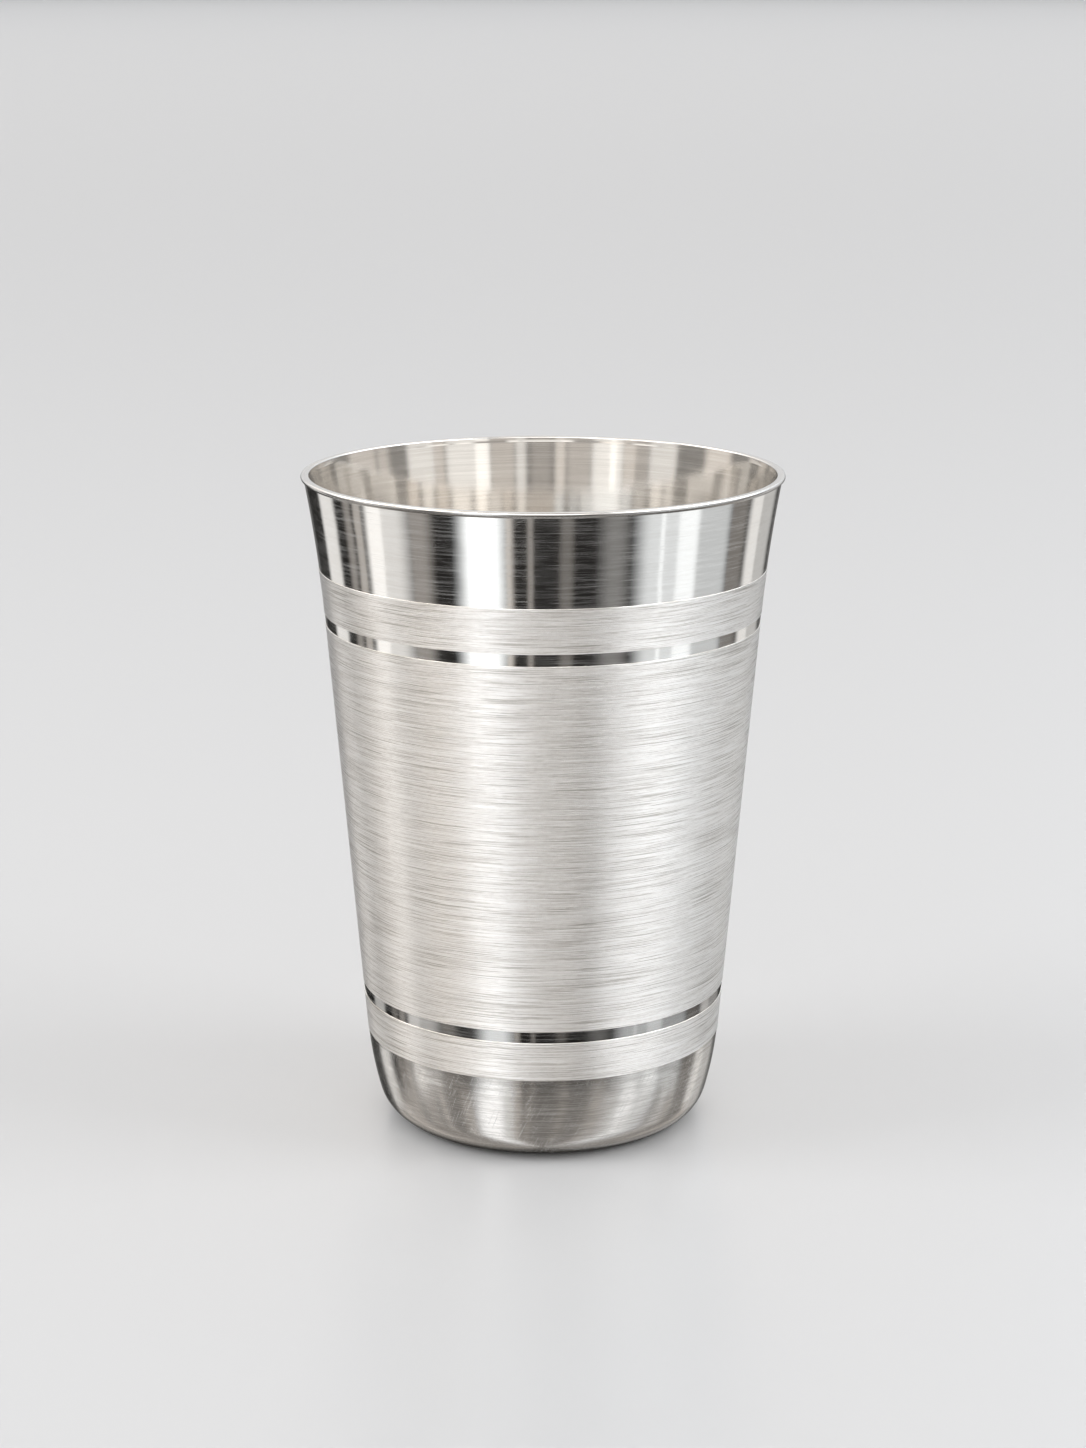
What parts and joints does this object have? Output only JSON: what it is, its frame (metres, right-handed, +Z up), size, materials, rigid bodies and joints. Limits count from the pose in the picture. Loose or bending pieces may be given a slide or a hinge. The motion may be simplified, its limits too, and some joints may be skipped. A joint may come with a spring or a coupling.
{
  "type": "water tumbler",
  "caption": "Tapered metal water tumbler with a flared polished lip, a beaded rim wire, a brushed wall crossed by thin bright lines, and a dished base with a rounded corner.",
  "frame": {"origin": "centre of the foot, on the table that the tumbler stands on", "axes": "+Z up the tumbler's axis of revolution towards its mouth; X and Y are alike"},
  "size_m": [0.076, 0.076, 0.1056],
  "materials": {
    "brushed_silver": "brushed around the wall, with polished lip and lines",
    "satin_silver": "satin polish with fine wear scratches",
    "polished_silver": "mirror polish"
  },
  "bodies": {
    "root": {"body_wall": "brushed_silver", "base_cup": "satin_silver", "rim_wire": "polished_silver"}
  },
  "joints": []
}
